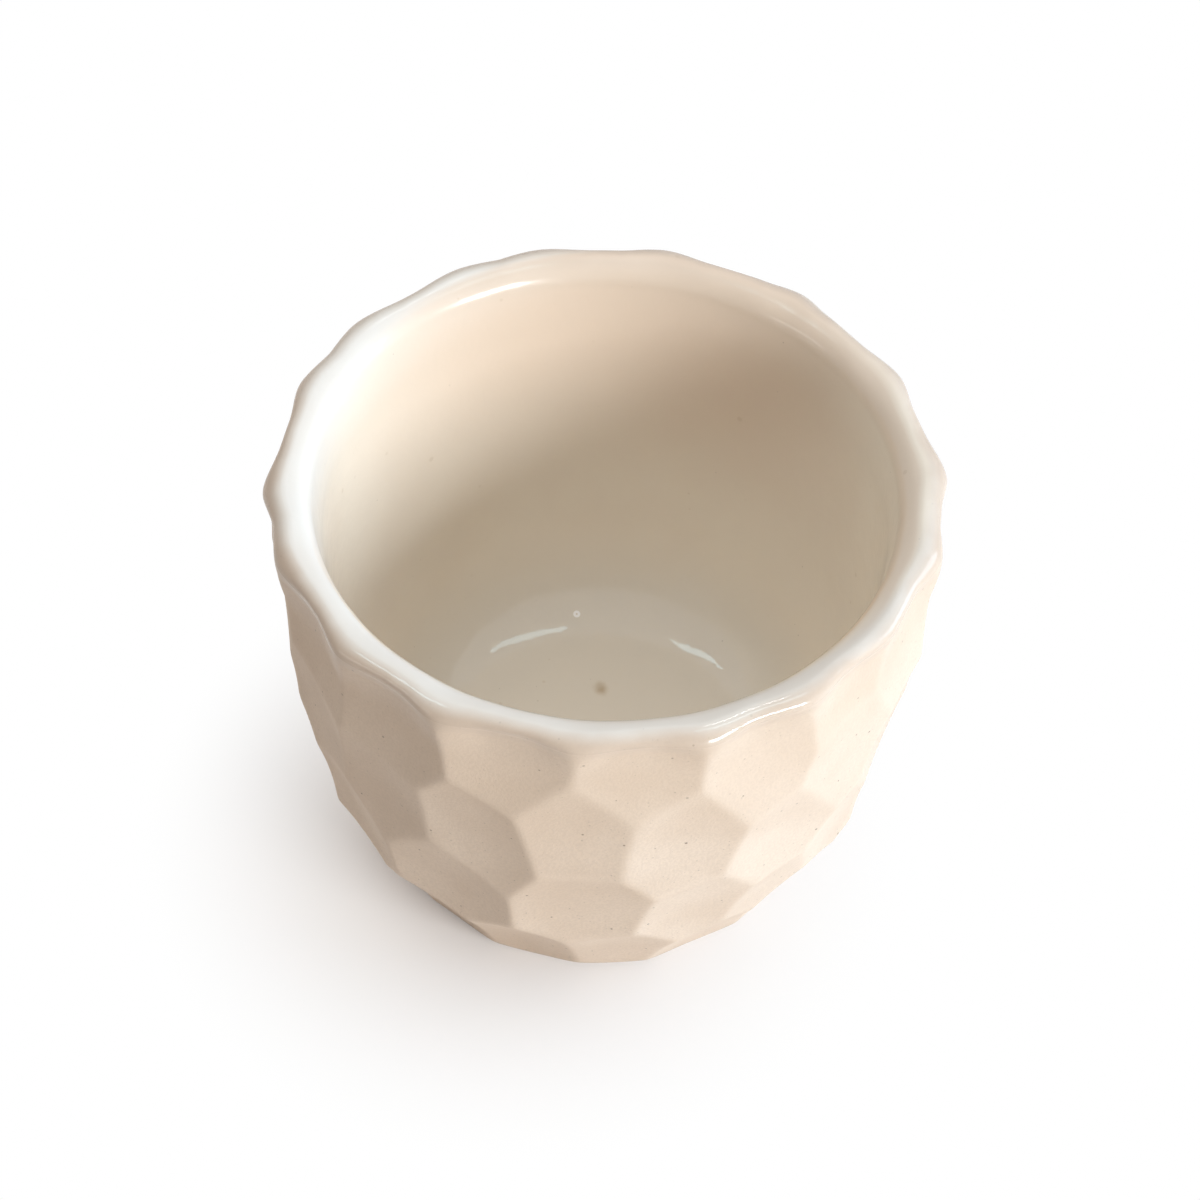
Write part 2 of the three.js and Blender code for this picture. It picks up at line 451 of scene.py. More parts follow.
def glaze_section():
    """The glaze's face from the axis over the lip to its edge outside, then its back to the axis again.
    With each point go its coat and its lap, which is under 0 inside the lip's crest, 0 on the crest and 1
    at the edge outside and all over the back."""
    coat = BOND_GAP + GLAZE_THICKNESS
    inside = liner_side(coat, LIP_STEPS, LINER_RINGS, FLOOR_RINGS)
    over_coats = thinned(coat, LIP_RINGS)
    over = outer_lip(over_coats)[1:]
    t, facing = seat_at(glaze_line)
    edge = curve_point(OUTSIDE, t) + facing * GLAZE_EDGE
    under_coats = thinned(BOND_GAP, HIDDEN_LIP_RINGS)
    under = outer_lip(under_coats)[::-1]
    back = liner_side(BOND_GAP, HIDDEN_STEPS, HIDDEN_RINGS, HIDDEN_FLOOR_RINGS)[-2::-1]
    section = inside + over + [edge] + under + back
    coats = [coat] * len(inside) + over_coats[1:] + [GLAZE_EDGE] + under_coats[::-1] + [BOND_GAP] * len(back)
    lap = [(point.x - crest_radius) / LIP_OUTER_WIDTH for point in inside]
    lap += [i / LIP_RINGS for i in range(1, LIP_RINGS + 1)]
    lap += [1.0] * (len(section) - len(lap))
    return section, coats, lap


def turned(name, section, coats, lap):
    """A section swept once around the axis, which it meets at both ends."""
    rings = section[1:-1]
    verts = [(0, 0, section[0].y), (0, 0, section[-1].y)]
    poles = len(verts)
    for i in range(AROUND):
        angle = i / AROUND * 2 * math.pi
        for point in rings:
            verts.append((point.x * math.cos(angle), point.x * math.sin(angle), point.y))
    faces = []
    for i in range(AROUND):
        here = poles + i * len(rings)
        there = poles + (i + 1) % AROUND * len(rings)
        faces.append((0, there, here))
        faces.append((1, here + len(rings) - 1, there + len(rings) - 1))
        for j in range(len(rings) - 1):
            faces.append((here + j, there + j, there + j + 1, here + j + 1))
    mesh = bpy.data.meshes.new(name)
    mesh.from_pydata(verts, [], faces)
    for label, values in (("coat", coats), ("lap", lap)):
        attribute = mesh.attributes.new(label, "FLOAT", "POINT")
        spread = [values[0], values[-1]] + list(values[1:-1]) * AROUND
        attribute.data.foreach_set("value", spread)
    return add_object(name, mesh)


# Places of the scoops

def scoop_places():
    """Angle in radians and height of every scoop."""
    places = []
    top_row = clay_height - TOP_ROW_DROP
    for row, (count, seen) in enumerate(ROWS):
        height = top_row + (BOTTOM_ROW_HEIGHT - top_row) * row / (len(ROWS) - 1)
        for angle, lift in seen:
            places.append((math.radians(angle), height + lift * MM))
        hidden = count - len(seen)
        step = (360 + seen[0][0] - seen[-1][0]) / (hidden + 1)
        for i in range(1, hidden + 1):
            angle = seen[-1][0] + step * i + DRIFT_ANGLE * math.cos(DRIFT_TURN * i)
            places.append((math.radians(angle), height + DRIFT_HEIGHT * math.sin(DRIFT_TURN * i)))
    return places


def scoop_centres():
    """A helper with one point at the centre of each scoop's hollow."""
    centres = []
    for angle, height in scoop_places():
        t, facing = seat_at(height)
        middle = curve_point(OUTSIDE, t) + facing * (SCOOP_RADIUS - SCOOP_DEPTH)
        centres.append((middle.x * math.cos(angle), middle.x * math.sin(angle), middle.y))
    mesh = bpy.data.meshes.new("scoop_centres")
    mesh.from_pydata(centres, [], [])
    return add_object("scoop_centres", mesh)


# Building blocks of node trees

def feed(tree, socket, value):
    """Links a socket's value, or sets it."""
    if isinstance(value, bpy.types.NodeSocket):
        tree.links.new(value, socket)
    else:
        socket.default_value = value


def add(tree, kind, inputs=None, **settings):
    node = tree.nodes.new(kind)
    for name, value in settings.items():
        setattr(node, name, value)
    for key, value in (inputs or {}).items():
        feed(tree, node.inputs[key], value)
    return node


def calc(tree, operation, *values):
    node = add(tree, "ShaderNodeMath", operation=operation)
    for socket, value in zip(node.inputs, values):
        feed(tree, socket, value)
    return node.outputs[0]


def times(tree, product, *values):
    for value in values:
        product = calc(tree, "MULTIPLY", product, value)
    return product


def vector_calc(tree, operation, *values):
    node = add(tree, "ShaderNodeVectorMath", operation=operation)
    for socket, value in zip(node.inputs, values):
        feed(tree, socket, value)
    return node.outputs["Value" if operation in ("DOT_PRODUCT", "LENGTH") else "Vector"]


def split(tree, vector):
    """A vector's X, Y and Z."""
    return add(tree, "ShaderNodeSeparateXYZ", {"Vector": vector}).outputs


def ramped(tree, value, low, high, start=0.0, end=1.0):
    """A smooth step from start to end as the value goes from low to high."""
    return add(tree, "ShaderNodeMapRange", {
        "Value": value,
        "From Min": low,
        "From Max": high,
        "To Min": start,
        "To Max": end,
    }, interpolation_type="SMOOTHSTEP").outputs[0]


# Carving

def carving_inputs(tree):
    """Makes the carving's sockets, and gives the ones that it takes."""
    for name, kind in (
        ("Geometry", "NodeSocketGeometry"),
        ("Scoop centres", "NodeSocketObject"),
        ("Finish", "NodeSocketMaterial"),
    ):
        tree.interface.new_socket(name, in_out="INPUT", socket_type=kind)
    for name in CARVING_SIZES:
        tree.interface.new_socket(name, in_out="INPUT", socket_type="NodeSocketFloat")
    tree.interface.new_socket("Geometry", in_out="OUTPUT", socket_type="NodeSocketGeometry")
    return add(tree, "NodeGroupInput").outputs


def hollow_cut(tree, centre, hollow, away, height):
    """How far out from the axis a hollow is met, or far away where it isn't."""
    centre_level = vector_calc(tree, "MULTIPLY", centre, LEVEL)
    along = vector_calc(tree, "DOT_PRODUCT", away, centre_level)
    rise = calc(tree, "SUBTRACT", height, split(tree, centre)["Z"])
    reach = vector_calc(tree, "DOT_PRODUCT", centre_level, centre_level)
    spread = calc(tree, "SUBTRACT", reach, calc(tree, "MULTIPLY", along, along))
    off = calc(tree, "MULTIPLY_ADD", rise, rise, spread)
    inside = calc(tree, "SUBTRACT", calc(tree, "MULTIPLY", hollow, hollow), off)
    cut = calc(tree, "SUBTRACT", along, calc(tree, "SQRT", calc(tree, "MAXIMUM", inside, 0.0)))
    reached = calc(tree, "GREATER_THAN", inside, 0.0)
    meets = calc(tree, "MULTIPLY", reached, calc(tree, "GREATER_THAN", along, 0.0))
    choice = {"Switch": meets, "False": FAR, "True": cut}
    return add(tree, "GeometryNodeSwitch", choice, input_type="FLOAT").outputs[0]


def nearest_hollows(tree, given, away, distance, height):
    """The wall, moved in scoop by scoop to the nearest hollow, and how far out the nearest two are."""
    coat = add(tree, "GeometryNodeInputNamedAttribute", {"Name": "coat"}, data_type="FLOAT")
    hollow = calc(tree, "SUBTRACT", given["Scoop radius"], coat.outputs["Attribute"])
    softness = ramped(
        tree,
        height,
        calc(tree, "SUBTRACT", given["Lip height"], given["Lip reach"]),
        given["Lip height"],
        given["Ridge softness"],
        given["Lip softness"],
    )
    scoops = add(tree, "GeometryNodeObjectInfo", {"Object": given["Scoop centres"]}).outputs["Geometry"]
    count = add(tree, "GeometryNodeAttributeDomainSize", {"Geometry": scoops}).outputs["Point Count"]
    first = add(tree, "GeometryNodeRepeatInput")
    last = add(tree, "GeometryNodeRepeatOutput")
    first.pair_with_output(last)
    last.repeat_items.clear()
    starts = {"Wall": distance, "Nearest": FAR, "Second": FAR}
    for name in starts:
        last.repeat_items.new("FLOAT", name)
    feed(tree, first.inputs["Iterations"], count)
    for name, value in starts.items():
        feed(tree, first.inputs[name], value)
    centre = add(tree, "GeometryNodeSampleIndex", {
        "Geometry": scoops,
        "Value": add(tree, "GeometryNodeInputPosition").outputs[0],
        "Index": first.outputs["Iteration"],
    }, data_type="FLOAT_VECTOR").outputs[0]
    hit = hollow_cut(tree, centre, hollow, away, height)
    feed(tree, last.inputs["Wall"], calc(tree, "SMOOTH_MIN", first.outputs["Wall"], hit, softness))
    nearest = first.outputs["Nearest"]
    feed(tree, last.inputs["Nearest"], calc(tree, "MINIMUM", nearest, hit))
    further = calc(tree, "MAXIMUM", nearest, hit)
    feed(tree, last.inputs["Second"], calc(tree, "MINIMUM", first.outputs["Second"], further))
    return [last.outputs[name] for name in starts]


def lip_flutes(tree, given, gap, distance, height):
    """Towards the lip the ridges swell and the hollows deepen, so that the lip is fluted outside."""
    flute = ramped(tree, gap, 0.0, given["Flute band"], RIDGE_SWELL, HOLLOW_SINK)
    flute_start = calc(tree, "SUBTRACT", given["Lip height"], given["Flute reach"])
    flute_end = calc(tree, "SUBTRACT", given["Lip height"], LIP_ROUND)
    upper = ramped(tree, height, flute_start, flute_end)
    outer = ramped(tree, distance, mouth_radius, crest_radius)
    return times(tree, flute, upper, outer, given["Lip flute"])


def hand_sway(tree, given, away, height, outside):
    """Hand-made unevenness of the outside."""
    way = split(tree, away)
    ripple = add(tree, "ShaderNodeTexNoise", {
        "Vector": add(tree, "ShaderNodeCombineXYZ", {
            "X": way["X"],
            "Y": way["Y"],
            "Z": calc(tree, "DIVIDE", height, BELLY_RADIUS),
        }).outputs[0],
        "Scale": SWAY_SCALE,
        "Detail": SWAY_DETAIL,
    }).outputs[0]
    sway = calc(tree, "MULTIPLY_ADD", ripple, SWAY_GAIN, -SWAY_GAIN / 2)
    outer_share = ramped(tree, outside, SWAY_START, SWAY_FULL)
    return times(tree, sway, given["Unevenness"], outer_share)


def carving_tree():
    """Cuts a hollow around each scoop centre into a turned piece, with soft ridges between hollows."""
    tree = bpy.data.node_groups.new("Carve scoops", "GeometryNodeTree")
    given = carving_inputs(tree)

    # Each point as a direction from the axis, a distance and a height
    place = add(tree, "GeometryNodeInputPosition").outputs[0]
    height = split(tree, place)["Z"]
    level = vector_calc(tree, "MULTIPLY", place, LEVEL)
    away = vector_calc(tree, "NORMALIZE", level)
    distance = vector_calc(tree, "LENGTH", level)

    # The new distance of each point
    wall, nearest, second = nearest_hollows(tree, given, away, distance, height)
    gap = calc(tree, "SUBTRACT", second, nearest)
    flute = lip_flutes(tree, given, gap, distance, height)
    sway = hand_sway(tree, given, away, height, calc(tree, "SUBTRACT", distance, nearest))
    wall = calc(tree, "ADD", wall, calc(tree, "ADD", sway, flute))
    outwards = add(tree, "ShaderNodeVectorMath", {0: away, "Scale": wall}, operation="SCALE").outputs[0]
    upwards = add(tree, "ShaderNodeCombineXYZ", {"Z": height}).outputs[0]
    new_place = vector_calc(tree, "ADD", outwards, upwards)

    # How close each point is to a ridge, for the finish
    ridge = ramped(tree, gap, 0.0, given["Ridge band"], 1.0, 0.0)
    marked = add(tree, "GeometryNodeStoreNamedAttribute", {
        "Geometry": given["Geometry"],
        "Name": "ridge",
        "Value": ridge,
    }, data_type="FLOAT", domain="POINT").outputs[0]

    carved = add(tree, "GeometryNodeSetPosition", {"Geometry": marked, "Position": new_place}).outputs[0]
    smooth = add(tree, "GeometryNodeSetShadeSmooth", {"Geometry": carved, "Shade Smooth": True}).outputs[0]
    whole = add(tree, "GeometryNodeRealizeInstances", {"Geometry": smooth}).outputs[0]
    finished = add(tree, "GeometryNodeSetMaterial", {"Geometry": whole, "Material": given["Finish"]}).outputs[0]
    add(tree, "NodeGroupOutput", {"Geometry": finished})
    return tree


def carve(piece, tree, helper, finish):
    """Runs the carving on a turned piece and keeps its result as a plain mesh."""
    modifier = piece.modifiers.new("carving", "NODES")
    modifier.node_group = tree
    values = {"Scoop centres": helper, "Finish": finish, **CARVING_SIZES}
    for socket in tree.interface.items_tree:
        if socket.in_out == "INPUT" and socket.name in values:
            modifier[socket.identifier] = values[socket.name]
    bpy.context.view_layer.update()
    drawn = piece.evaluated_get(bpy.context.evaluated_depsgraph_get())
    mesh = bpy.data.meshes.new_from_object(drawn)
    piece.modifiers.remove(modifier)
    piece.data = mesh


# Building blocks of finishes

def shader_group(name, inputs, outputs):
    tree = bpy.data.node_groups.new(name, "ShaderNodeTree")
    for label, kind in inputs:
        tree.interface.new_socket(label, in_out="INPUT", socket_type=kind)
    for label, kind in outputs:
        tree.interface.new_socket(label, in_out="OUTPUT", socket_type=kind)
    return tree, add(tree, "NodeGroupInput").outputs, add(tree, "NodeGroupOutput").inputs


def iron_specks_group():
    """Small dark grains of iron, each with its own size, scattered through the clay."""
    tree, given, result = shader_group(
        "Iron specks",
        [("Vector", "NodeSocketVector"), ("Spacing", "NodeSocketFloat"), ("Size", "NodeSocketFloat"),
         ("Share", "NodeSocketFloat")],
        [("Speck", "NodeSocketFloat")],
    )
    cells = add(tree, "ShaderNodeTexVoronoi", {
        "Vector": given["Vector"],
        "Scale": calc(tree, "DIVIDE", 1.0, given["Spacing"]),
    })
    chance = add(tree, "ShaderNodeSeparateColor", {"Color": cells.outputs["Color"]}).outputs
    shown = calc(tree, "LESS_THAN", chance["Red"], given["Share"])
    growth = calc(tree, "MULTIPLY_ADD", chance["Green"], SPECK_SIZE_SPREAD, 1 - SPECK_SIZE_SPREAD)
    size = calc(tree, "MULTIPLY", given["Size"], growth)
    radius = calc(tree, "DIVIDE", size, given["Spacing"])
    grain = ramped(tree, cells.outputs["Distance"], radius, calc(tree, "MULTIPLY", radius, SPECK_CORE))
    feed(tree, result["Speck"], calc(tree, "MULTIPLY", shown, grain))
    return tree


def kiln_tone_group():
    """Soft drifts of tone, broad and fine, as fired clay and glaze have."""
    tree, given, result = shader_group(
        "Kiln tone",
        [("Vector", "NodeSocketVector"), ("Broad", "NodeSocketFloat"), ("Fine", "NodeSocketFloat")],
        [("Drift", "NodeSocketFloat"), ("Grain", "NodeSocketFloat")],
    )
    for label, size, detail in (("Drift", "Broad", TONE_DETAIL), ("Grain", "Fine", GRAIN_DETAIL)):
        noise = add(tree, "ShaderNodeTexNoise", {
            "Vector": given["Vector"],
            "Scale": calc(tree, "DIVIDE", 1.0, given[size]),
            "Detail": detail,
        }).outputs[0]
        feed(tree, result[label], ramped(tree, noise, TONE_LOW, TONE_HIGH))
    return tree


def place_group(tree, group, place, values):
    return add(tree, "ShaderNodeGroup", {"Vector": place, **values}, node_tree=group).outputs


def mixed(tree, share, first, second):
    """The first colour turning into the second as the share goes from 0 to 1."""
    node = add(tree, "ShaderNodeMix", data_type="RGBA")
    colour_inputs = [socket for socket in node.inputs if socket.type == "RGBA"]
    feed(tree, node.inputs["Factor"], share)
    feed(tree, colour_inputs[0], first)
    feed(tree, colour_inputs[1], second)
    return next(socket for socket in node.outputs if socket.type == "RGBA")


def new_finish(name):
    """A new material, with its node tree, its shader and each point's place on the piece."""
    finish = bpy.data.materials.new(name)
    finish.use_nodes = True
    tree = finish.node_tree
    tree.nodes.clear()
    shader = add(tree, "ShaderNodeBsdfPrincipled")
    add(tree, "ShaderNodeOutputMaterial", {"Surface": shader.outputs[0]})
    place = add(tree, "ShaderNodeTexCoord").outputs["Object"]
    return finish, tree, shader, place


# Stoneware

def clay_colour(tree, place, height, groups):
    """The fired clay's colour, shared by the bare wall and the thin end of the glaze."""
    specks, tone = groups
    drift = place_group(tree, tone, place, CLAY_TONE)
    colour = mixed(tree, drift["Drift"], CLAY_WARM, CLAY_PALE)
    colour = mixed(tree, times(tree, drift["Grain"], GRAIN_SHARE), colour, CLAY_DEEP)
    fine = place_group(tree, specks, place, FINE_SPECKS)
    colour = mixed(tree, times(tree, fine["Speck"], FINE_SPECK_SHARE), colour, IRON)
    coarse = place_group(tree, specks, place, COARSE_SPECKS)
    colour = mixed(tree, times(tree, coarse["Speck"], COARSE_SPECK_SHARE), colour, IRON)
    # Darker towards the lip, in a band all around the cup.
    lip_band = ramped(tree, height, lip_start - LIP_BAND_START, lip_start - LIP_BAND_FULL)
    colour = mixed(tree, times(tree, lip_band, LIP_BAND_SHARE), colour, LIP_BAND_TONE)
    return colour, drift["Grain"], coarse["Speck"]


def stoneware_finish(groups):
    finish, tree, shader, place = new_finish("stoneware")
    height = split(tree, place)["Z"]
    colour, grain, speck = clay_colour(tree, place, height, groups)
    ridge = add(tree, "ShaderNodeAttribute", attribute_name="ridge").outputs["Fac"]
    colour = mixed(tree, times(tree, ridge, RIDGE_SHARE), colour, CLAY_PALE)
    feed(tree, shader.inputs["Base Color"], colour)
    matt = ramped(tree, height, lip_start - SHEEN_REACH, lip_start, CLAY_MATT, CLAY_SHEEN)
    feed(tree, shader.inputs["Roughness"], calc(tree, "MULTIPLY_ADD", grain, GRAIN_MATT, matt))
    pits = calc(tree, "MULTIPLY_ADD", speck, PIT_DEPTH, grain)
    bump = add(tree, "ShaderNodeBump", {"Strength": CLAY_BUMP, "Distance": CLAY_BUMP_DEPTH, "Height": pits})
    feed(tree, shader.inputs["Normal"], bump.outputs[0])
    return finish


# Glaze

def blushed_cream(tree, axes):
    """Cream inside, with a blush where it is thin high at the back."""
    back = ramped(tree, axes["Y"], BLUSH_BACK, mouth_radius)
    high = ramped(tree, axes["Z"], BLUSH_LOW, BLUSH_HIGH)
    return mixed(tree, times(tree, back, BLUSH_SHARE, high), CREAM, BLUSH)


def milky_lip(tree, colour, place, height, level, glaze_and_light_lean):
    """Milky over the lip, with streaks around the rim. It is widest at the front left and narrowest at the back
    right, so the lit left of the lip is whiter and the shaded right creamier: partly painted light and shade.
    """
    streak = add(tree, "ShaderNodeTexNoise", {
        "Vector": vector_calc(tree, "MULTIPLY", vector_calc(tree, "NORMALIZE", place), STREAK_TURN),
        "W": calc(tree, "DIVIDE", calc(tree, "SUBTRACT", level, height), STREAK_WIDTH),
        "Scale": 1.0,
        "Detail": STREAK_DETAIL,
    }, noise_dimensions="4D").outputs[0]
    sway = calc(tree, "MULTIPLY_ADD", streak, STREAK_SWAY, -STREAK_SWAY / 2)
    reach = calc(tree, "ADD", calc(tree, "ADD", level, glaze_and_light_lean), sway)
    milk = ramped(tree, reach, crest_radius - MILK_START, crest_radius - MILK_FULL)
    return mixed(tree, milk, colour, MILK)


def broken_and_shaded_edge(tree, colour, height, level, glaze_and_light_lean):
    """It breaks to the clay's own tone over the inner edge of the lip, at the back and the right; on the right,
    where the lip is in shade, this is partly painted shade.
    """
    # Clay tone laid over the inner edge where the lean is low: partly a glaze break, partly painted shade on
    # the shaded right.
    edge = times(
        tree,
        ramped(tree, height, HEIGHT - BREAK_SHADE_LOW, HEIGHT - BREAK_SHADE_LOW_FULL),
        ramped(tree, height, HEIGHT, HEIGHT - BREAK_SHADE_TOP_FULL),
        ramped(tree, level, crest_radius + BREAK_SHADE_OUTER, crest_radius + BREAK_SHADE_OUTER_FULL),
        ramped(tree, glaze_and_light_lean, BREAK_SHADE_FRONT, BREAK_SHADE_BACK),
        BREAK_SHADE_SHARE,
    )
    return mixed(tree, edge, colour, CLAY_PALE)


def tan_line(tree, colour, axes):
    """A fine tan line under the inner edge at the front."""
    line = times(
        tree,
        ramped(tree, axes["Z"], HEIGHT - LINE_TOP, HEIGHT - LINE_TOP_FULL),
        ramped(tree, axes["Z"], HEIGHT - LINE_LOW, HEIGHT - LINE_LOW_FULL),
        ramped(tree, axes["Y"], LINE_START, LINE_FRONT, 0.0, LINE_SHARE),
    )
    return mixed(tree, line, colour, TAN)


def floor_stain_and_glint(tree, colour, place, grain):
    """The brown stain on the floor, and a white ring painted as the highlight on a small bubble that healed
    over.
    """
    stain_reach = vector_calc(tree, "LENGTH", vector_calc(tree, "SUBTRACT", place, STAIN_PLACE))
    ragged = calc(tree, "MULTIPLY_ADD", grain, STAIN_RAGGED, stain_reach)
    stain = ramped(tree, ragged, STAIN_RADIUS, STAIN_CORE)
    colour = mixed(tree, times(tree, stain, STAIN_SHARE), colour, STAIN)
    # Painted highlight: a white ring where a small bubble in the glaze catches the light.
    bead_glint_reach = vector_calc(tree, "LENGTH", vector_calc(tree, "SUBTRACT", place, BEAD_GLINT_PLACE))
    bead_glint = ramped(tree, bead_glint_reach, BEAD_GLINT_RADIUS, BEAD_GLINT_RIM)
    bead_glint = times(tree, bead_glint, ramped(tree, bead_glint_reach, BEAD_GLINT_HOLE, BEAD_GLINT_HOLE_RIM))
    return mixed(tree, bead_glint, colour, WHITE)


def thin_end(tree, colour, place, height, lap, drift, groups):
    """Thin at its lower edge outside, where the clay shows through, darker next to the lip."""
    clay, _, _ = clay_colour(tree, place, height, groups)
    clay = mixed(tree, ramped(tree, lap, 1.0, SOAKED_FULL, 0.0, SOAKED_SHARE), clay, CLAY_DEEP)
    thin = ramped(tree, calc(tree, "MULTIPLY_ADD", drift, THIN_DRIFT, lap), THIN_START, THIN_FULL)
    return mixed(tree, thin, colour, clay)


def glaze_gloss(tree, axes, level, lap, drift):
    """Glossy, dulled where it thins out, and hazed high on the inside."""
    dulled = ramped(tree, lap, MATT_START, MATT_FULL, GLOSS, EDGE_MATT)
    high = times(tree, ramped(tree, axes["Z"], HAZE_LOW, HAZE_HIGH), ramped(tree, lap, HAZE_LAP, 0.0))
    inner = ramped(tree, level, crest_radius - HAZE_REACH, mouth_radius, 0.0, INNER_HAZE)
    back = ramped(tree, axes["Y"], 0.0, mouth_radius, SIDE_HAZE, BACK_HAZE)
    haze = times(tree, calc(tree, "MAXIMUM", inner, back), high)
    return calc(tree, "MULTIPLY_ADD", drift, DRIFT_MATT, calc(tree, "ADD", dulled, haze))


def glaze_finish(groups):
    finish, tree, shader, place = new_finish("cream_glaze")
    specks, tone = groups
    axes = split(tree, place)
    height = axes["Z"]
    drift = place_group(tree, tone, place, GLAZE_TONE)
    level = vector_calc(tree, "LENGTH", vector_calc(tree, "MULTIPLY", place, LEVEL))
    # Lean of the milk and the break: partly the glaze lying thicker to one side, partly painted light on the
    # lit left and painted shade on the shaded right.
    glaze_and_light_lean = vector_calc(tree, "DOT_PRODUCT", place, GLAZE_AND_LIGHT_LEAN)
    lap = add(tree, "ShaderNodeAttribute", attribute_name="lap").outputs["Fac"]

    colour = blushed_cream(tree, axes)
    colour = milky_lip(tree, colour, place, height, level, glaze_and_light_lean)
    colour = broken_and_shaded_edge(tree, colour, height, level, glaze_and_light_lean)
    colour = tan_line(tree, colour, axes)
    colour = mixed(tree, times(tree, drift["Drift"], GLAZE_DRIFT_SHARE), colour, CLAY_PALE)
    # Darker and greyer towards the cup's floor: partly pooled glaze, partly painted shade at the bottom of the
    # cup.
    pool_and_shade = ramped(tree, height, FLOOR_THICKNESS + POOL_AND_SHADE_HEIGHT, FLOOR_THICKNESS)
    colour = mixed(tree, pool_and_shade, colour, POOLED_AND_SHADED)
    flecks = place_group(tree, specks, place, FLECKS)
    colour = mixed(tree, times(tree, flecks["Speck"], FLECK_SHARE), colour, STAIN)
    pinholes = place_group(tree, specks, place, PINHOLES)
    colour = mixed(tree, times(tree, pinholes["Speck"], PINHOLE_SHARE), colour, IRON)
    colour = floor_stain_and_glint(tree, colour, place, drift["Grain"])
    colour = thin_end(tree, colour, place, height, lap, drift["Drift"], groups)
    feed(tree, shader.inputs["Base Color"], colour)

    feed(tree, shader.inputs["Roughness"], glaze_gloss(tree, axes, level, lap, drift["Drift"]))
    bump = add(tree, "ShaderNodeBump", {
        "Strength": GLAZE_BUMP,
        "Distance": GLAZE_BUMP_DEPTH,
        "Height": drift["Grain"],
    })
    feed(tree, shader.inputs["Normal"], bump.outputs[0])
    return finish


# The cup

groups = (iron_specks_group(), kiln_tone_group())
stoneware = stoneware_finish(groups)
cream_glaze = glaze_finish(groups)
tree = carving_tree()
helper = scoop_centres()

section = clay_section()
body = turned("carved_body", section, [0.0] * len(section), [0.0] * len(section))
carve(body, tree, helper, stoneware)

section, coats, lap = glaze_section()
liner = turned("glaze_liner", section, coats, lap)
carve(liner, tree, helper, cream_glaze)
bpy.data.objects.remove(helper)

for piece, node, slot in ((body, "clay_body", "stoneware"), (liner, "liner_glaze", "cream_glaze")):
    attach(piece, "root")
    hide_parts(node)


# Table and background

def seen_directly(tree):
    """1 for the camera's own rays and for what gloss and glass show."""
    path = add(tree, "ShaderNodeLightPath").outputs
    seen = calc(tree, "MAXIMUM", path["Is Camera Ray"], path["Is Glossy Ray"])
    return calc(tree, "MAXIMUM", seen, path["Is Transmission Ray"])


def lay_floor():
    """A pale table top that shows as white away from the cup's shadow."""
    half = FLOOR_SIZE / 2
    corners = [(-half, -half, 0), (half, -half, 0), (half, half, 0), (-half, half, 0)]
    mesh = bpy.data.meshes.new("table")
    mesh.from_pydata(corners, [], [(0, 1, 2, 3)])
    table = add_object("table", mesh)
    finish, tree, shader, place = new_finish("table_top")
    reach = vector_calc(tree, "LENGTH", vector_calc(tree, "SUBTRACT", place, SHADOW_MIDDLE))
    white = calc(tree, "MULTIPLY", seen_directly(tree), ramped(tree, reach, SHADOW_NEAR, SHADOW_FAR))
    feed(tree, shader.inputs["Base Color"], mixed(tree, white, FLOOR_TONE, BLACK))
    feed(tree, shader.inputs["Roughness"], FLOOR_MATT)
    feed(tree, shader.inputs["Specular IOR Level"], 0.0)
    feed(tree, shader.inputs["Emission Color"], WHITE)
    feed(tree, shader.inputs["Emission Strength"], white)
    mesh.materials.append(finish)


def light_world():
    """A dim warm sky that shows as white."""
    world = bpy.data.worlds.new("studio")
    bpy.context.scene.world = world
    world.use_nodes = True
    tree = world.node_tree
    tree.nodes.clear()
    seen = seen_directly(tree)
    background = add(tree, "ShaderNodeBackground", {
        "Color": mixed(tree, seen, SKY, WHITE),
        "Strength": ramped(tree, seen, 0.0, 1.0, SKY_STRENGTH, 1.0),
    })
    add(tree, "ShaderNodeOutputWorld", {"Surface": background.outputs[0]})


def add_lamp(name, place, size, power, colour=(1, 1, 1), turn=(0, 0, 0), lights=True, mirrored=True):
    """A flat lamp, facing down unless turned, that lights matt surfaces, is mirrored in gloss, or both."""
    lamp = bpy.data.lights.new(name, "AREA")
    lamp.shape = "RECTANGLE"
    lamp.size, lamp.size_y = size
    lamp.energy = power
    lamp.color = colour
    holder = add_object(name, lamp)
    holder.location = place
    holder.rotation_euler = turn
    holder.visible_diffuse = lights
    holder.visible_glossy = mirrored


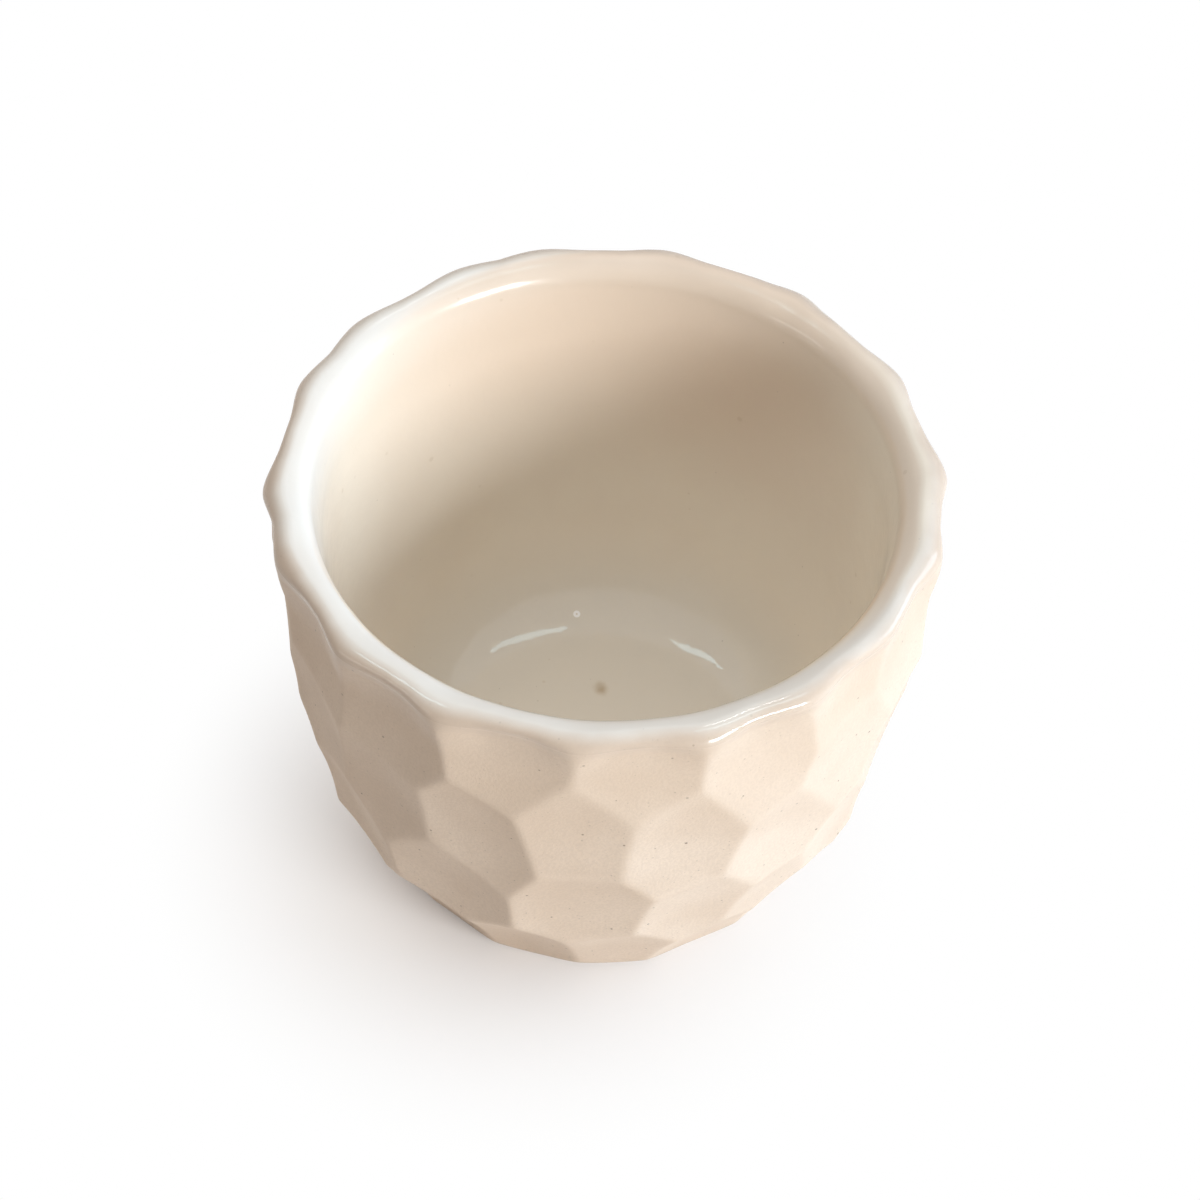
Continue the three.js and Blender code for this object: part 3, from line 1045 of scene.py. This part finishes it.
def add_side_lamp(name, azimuth, elevation, size, power, distance=LAMP_DISTANCE, **options):
    """A lamp that faces the cup's middle, at an azimuth from +X and an elevation in degrees."""
    a, e = math.radians(azimuth), math.radians(elevation)
    way = Vector((math.cos(a) * math.cos(e), math.sin(a) * math.cos(e), math.sin(e)))
    place = way * distance + Vector((0, 0, HEIGHT / 2))
    turn = (-way).to_track_quat("-Z", "Y").to_euler()
    add_lamp(name, place, size, power, turn=turn, **options)


lay_floor()
light_world()

# Light from the front right, whose mirror image stands a little apart from what lights the clay
add_side_lamp("key", -42, 20.3, KEY_SIZE, power=13.7, colour=DAYLIGHT, mirrored=False)
add_side_lamp("key_gloss", -47, 21.5, KEY_SIZE, power=13.2, colour=DAYLIGHT, lights=False)
add_side_lamp("window", 15, 27, (0.6, 0.6), power=4.8, colour=PALE_BLUE)
add_side_lamp("low_window", -2, 5, (0.4, 0.2), power=5.4, colour=DEEP_BLUE, mirrored=False)

# Soft light from the back left and from above
add_side_lamp("fill", 135, 40, (0.8, 0.8), power=2.8, colour=WARM_WHITE, mirrored=False)
add_lamp("ceiling", (0, 0, LAMP_DISTANCE), (1.2, 1.2), power=5.2, mirrored=False)

# Lamps that only show in the gloss: two glints on the lip, and the two long strips on the cup's floor
add_side_lamp("back_glint", 76, 62, (0.08, 0.03), power=0.12, distance=GLINT_DISTANCE, lights=False)
add_side_lamp("side_glint", -157, 17, (0.4, 0.1), power=0.5, distance=GLINT_DISTANCE, lights=False)
for name, x, y, size, power in (
    ("strip_right", 0.26, 0.147, (0.31, 0.14), 0.5),
    ("strip_left", -0.338, 0.205, (0.235, 0.13), 0.42),
):
    add_lamp(name, (x, y, STRIP_HEIGHT), size, power, colour=STRIP_BLUE, lights=False)


# Camera

lens = bpy.data.cameras.new("camera")
lens.lens = CAMERA_LENS
lens.sensor_width = CAMERA_SENSOR
lens.clip_start = CAMERA_NEAR
camera = add_object("camera", lens)
camera.location = CAMERA_PLACE
turn = (CAMERA_AIM - CAMERA_PLACE).to_track_quat("-Z", "Y")
camera.rotation_euler = (turn @ Euler((0, 0, math.radians(CAMERA_ROLL))).to_quaternion()).to_euler()
bpy.context.scene.camera = camera
bpy.context.scene.view_settings.view_transform = "Standard"
